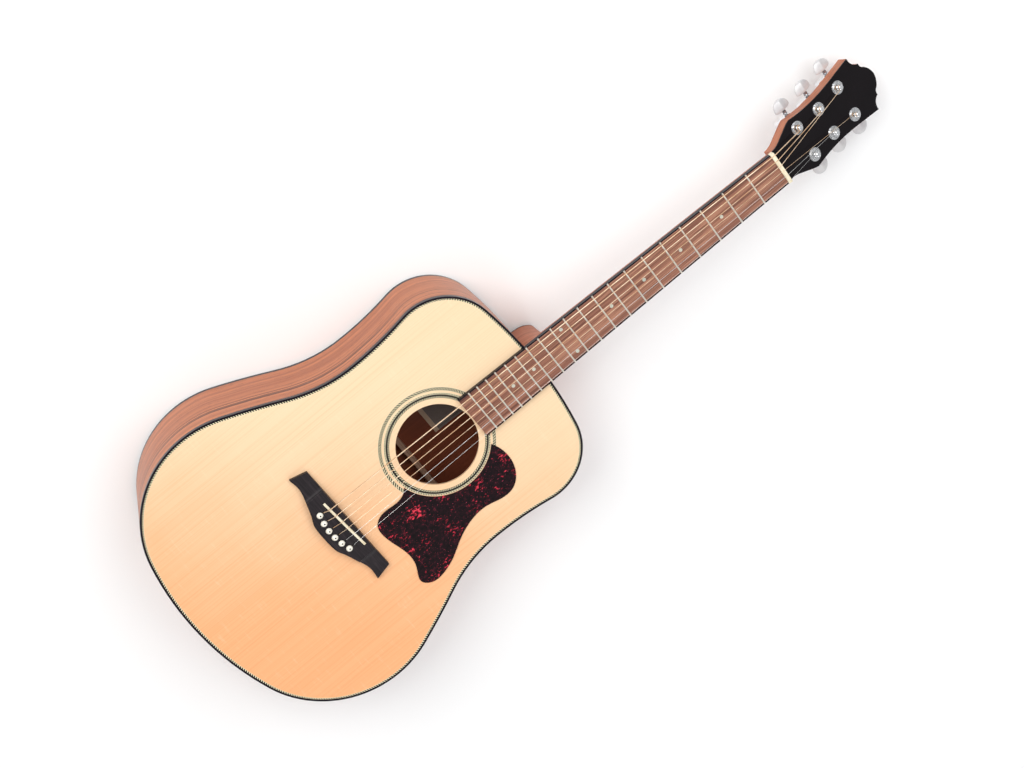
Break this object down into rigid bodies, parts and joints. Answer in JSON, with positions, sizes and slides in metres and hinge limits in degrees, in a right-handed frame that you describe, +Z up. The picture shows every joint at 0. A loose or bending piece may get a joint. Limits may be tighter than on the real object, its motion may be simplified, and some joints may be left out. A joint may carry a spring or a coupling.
{
  "type": "acoustic guitar",
  "caption": "Steel-string acoustic guitar with a dreadnought body, pinned bridge, fretted neck and slotless head with geared tuners.",
  "frame": {"origin": "centre of the guitar's footprint on the floor, lying on its flat back", "axes": "+X along the neck to the head, +Y to the bass side, +Z up out of the soundboard"},
  "size_m": [1.0356, 0.4, 0.1336],
  "materials": {
    "spruce_top": "satin natural spruce with fine straight grain",
    "rosette_inlay": "black and cream inlaid rings",
    "rope_purfling": "black and cream rope pattern",
    "black_binding": "gloss black",
    "mahogany_body": "gloss striped mahogany",
    "mahogany_neck": "satin mahogany",
    "brace_wood": "bare spruce",
    "rosewood": "oiled streaky rosewood",
    "paper": "blank paper label",
    "tortoise_plastic": "dark tortoise with red flecks",
    "black_wood": "satin black",
    "bone": "polished bone",
    "pearl": "pearl",
    "nickel": "polished nickel silver",
    "black_gloss": "gloss black lacquer",
    "steel": "machined steel",
    "chrome": "polished chrome",
    "pearl_chrome": "satin pearl chrome",
    "pin_plastic": "ivory plastic with a black dot",
    "bronze_string": "wound bronze and plain steel"
  },
  "bodies": {
    "guitar_body": {"soundboard": "spruce_top", "rosette": "rosette_inlay", "top_purfling": "rope_purfling", "top_binding": "black_binding", "back_binding": "black_binding", "back": "mahogany_body", "side_bass": "mahogany_body", "side_treble": "mahogany_body", "kerfed_linings": "brace_wood", "neck_block": "brace_wood", "tail_block": "brace_wood", "x_brace": "brace_wood", "tone_and_finger_braces": "brace_wood", "upper_transverse_brace": "brace_wood", "bridge_plate": "rosewood", "back_braces": "brace_wood", "label": "paper", "pickguard": "tortoise_plastic", "bridge": "black_wood", "saddle": "bone", "fretboard": "rosewood", "fretboard_binding": "black_binding", "position_dots": "pearl", "frets": "nickel", "nut": "bone", "neck": "mahogany_neck", "head_veneer": "black_gloss", "heel_cap": "black_binding", "truss_rod": "steel", "tuner_housings": "chrome", "tuner_bushings": "chrome", "tuner_washers": "chrome", "tuner_screws": "chrome", "strings": "bronze_string"},
    "rod_nut": {"truss_rod_nut": "steel"},
    "tuner_1_key": {"tuner_1_worm": "steel", "tuner_1_button": "pearl_chrome"},
    "tuner_1_capstan": {"tuner_1_post": "chrome"},
    "tuner_2_key": {"tuner_2_worm": "steel", "tuner_2_button": "pearl_chrome"},
    "tuner_2_capstan": {"tuner_2_post": "chrome"},
    "tuner_3_key": {"tuner_3_worm": "steel", "tuner_3_button": "pearl_chrome"},
    "tuner_3_capstan": {"tuner_3_post": "chrome"},
    "tuner_4_key": {"tuner_4_worm": "steel", "tuner_4_button": "pearl_chrome"},
    "tuner_4_capstan": {"tuner_4_post": "chrome"},
    "tuner_5_key": {"tuner_5_worm": "steel", "tuner_5_button": "pearl_chrome"},
    "tuner_5_capstan": {"tuner_5_post": "chrome"},
    "tuner_6_key": {"tuner_6_worm": "steel", "tuner_6_button": "pearl_chrome"},
    "tuner_6_capstan": {"tuner_6_post": "chrome"},
    "pin_1": {"bridge_pin_1": "pin_plastic"},
    "pin_2": {"bridge_pin_2": "pin_plastic"},
    "pin_3": {"bridge_pin_3": "pin_plastic"},
    "pin_4": {"bridge_pin_4": "pin_plastic"},
    "pin_5": {"bridge_pin_5": "pin_plastic"},
    "pin_6": {"bridge_pin_6": "pin_plastic"}
  },
  "joints": [
    {"name": "truss_rod_nut_turn", "type": "hinge", "parent": "guitar_body", "child": "rod_nut", "pos_m": [-0.06363, 0, 0.09795], "axis": [-0.9994, 0, 0.034], "range_deg": [-180, 180]},
    {"name": "tuner_1_key_turn", "type": "hinge", "parent": "guitar_body", "child": "tuner_1_key", "pos_m": [0.4018, -0.02, 0.05345], "axis": [0, -1, 0], "continuous": true},
    {"name": "tuner_1_capstan_turn", "type": "hinge", "parent": "guitar_body", "child": "tuner_1_capstan", "pos_m": [0.3992, -0.02, 0.07654], "axis": [0.3044, 0, 0.9526], "continuous": true},
    {"name": "tuner_2_key_turn", "type": "hinge", "parent": "guitar_body", "child": "tuner_2_key", "pos_m": [0.43657, -0.0178, 0.04234], "axis": [0, -1, 0], "continuous": true},
    {"name": "tuner_2_capstan_turn", "type": "hinge", "parent": "guitar_body", "child": "tuner_2_capstan", "pos_m": [0.43397, -0.0178, 0.06543], "axis": [0.3044, 0, 0.9526], "continuous": true},
    {"name": "tuner_3_key_turn", "type": "hinge", "parent": "guitar_body", "child": "tuner_3_key", "pos_m": [0.47134, -0.0202, 0.03123], "axis": [0, -1, 0], "continuous": true},
    {"name": "tuner_3_capstan_turn", "type": "hinge", "parent": "guitar_body", "child": "tuner_3_capstan", "pos_m": [0.46874, -0.0202, 0.05432], "axis": [0.3044, 0, 0.9526], "continuous": true},
    {"name": "tuner_4_key_turn", "type": "hinge", "parent": "guitar_body", "child": "tuner_4_key", "pos_m": [0.47134, 0.0202, 0.03123], "axis": [0, 1, 0], "continuous": true},
    {"name": "tuner_4_capstan_turn", "type": "hinge", "parent": "guitar_body", "child": "tuner_4_capstan", "pos_m": [0.46874, 0.0202, 0.05432], "axis": [0.3044, 0, 0.9526], "continuous": true},
    {"name": "tuner_5_key_turn", "type": "hinge", "parent": "guitar_body", "child": "tuner_5_key", "pos_m": [0.43657, 0.0178, 0.04234], "axis": [0, 1, 0], "continuous": true},
    {"name": "tuner_5_capstan_turn", "type": "hinge", "parent": "guitar_body", "child": "tuner_5_capstan", "pos_m": [0.43397, 0.0178, 0.06543], "axis": [0.3044, 0, 0.9526], "continuous": true},
    {"name": "tuner_6_key_turn", "type": "hinge", "parent": "guitar_body", "child": "tuner_6_key", "pos_m": [0.4018, 0.02, 0.05345], "axis": [0, 1, 0], "continuous": true},
    {"name": "tuner_6_capstan_turn", "type": "hinge", "parent": "guitar_body", "child": "tuner_6_capstan", "pos_m": [0.3992, 0.02, 0.07654], "axis": [0.3044, 0, 0.9526], "continuous": true},
    {"name": "bridge_pin_1_pull", "type": "slide", "parent": "guitar_body", "child": "pin_1", "axis": [0.0475, 0, 0.9989], "range_m": [0, 0.03]},
    {"name": "bridge_pin_2_pull", "type": "slide", "parent": "guitar_body", "child": "pin_2", "axis": [0.0475, 0, 0.9989], "range_m": [0, 0.03]},
    {"name": "bridge_pin_3_pull", "type": "slide", "parent": "guitar_body", "child": "pin_3", "axis": [0.0475, 0, 0.9989], "range_m": [0, 0.03]},
    {"name": "bridge_pin_4_pull", "type": "slide", "parent": "guitar_body", "child": "pin_4", "axis": [0.0475, 0, 0.9989], "range_m": [0, 0.03]},
    {"name": "bridge_pin_5_pull", "type": "slide", "parent": "guitar_body", "child": "pin_5", "axis": [0.0475, 0, 0.9989], "range_m": [0, 0.03]},
    {"name": "bridge_pin_6_pull", "type": "slide", "parent": "guitar_body", "child": "pin_6", "axis": [0.0475, 0, 0.9989], "range_m": [0, 0.03]}
  ],
  "couplings": [
    {"joint": "tuner_1_capstan_turn", "follows": "tuner_1_key_turn", "ratio": -0.071429},
    {"joint": "tuner_2_capstan_turn", "follows": "tuner_2_key_turn", "ratio": -0.071429},
    {"joint": "tuner_3_capstan_turn", "follows": "tuner_3_key_turn", "ratio": -0.071429},
    {"joint": "tuner_4_capstan_turn", "follows": "tuner_4_key_turn", "ratio": 0.071429},
    {"joint": "tuner_5_capstan_turn", "follows": "tuner_5_key_turn", "ratio": 0.071429},
    {"joint": "tuner_6_capstan_turn", "follows": "tuner_6_key_turn", "ratio": 0.071429}
  ]
}
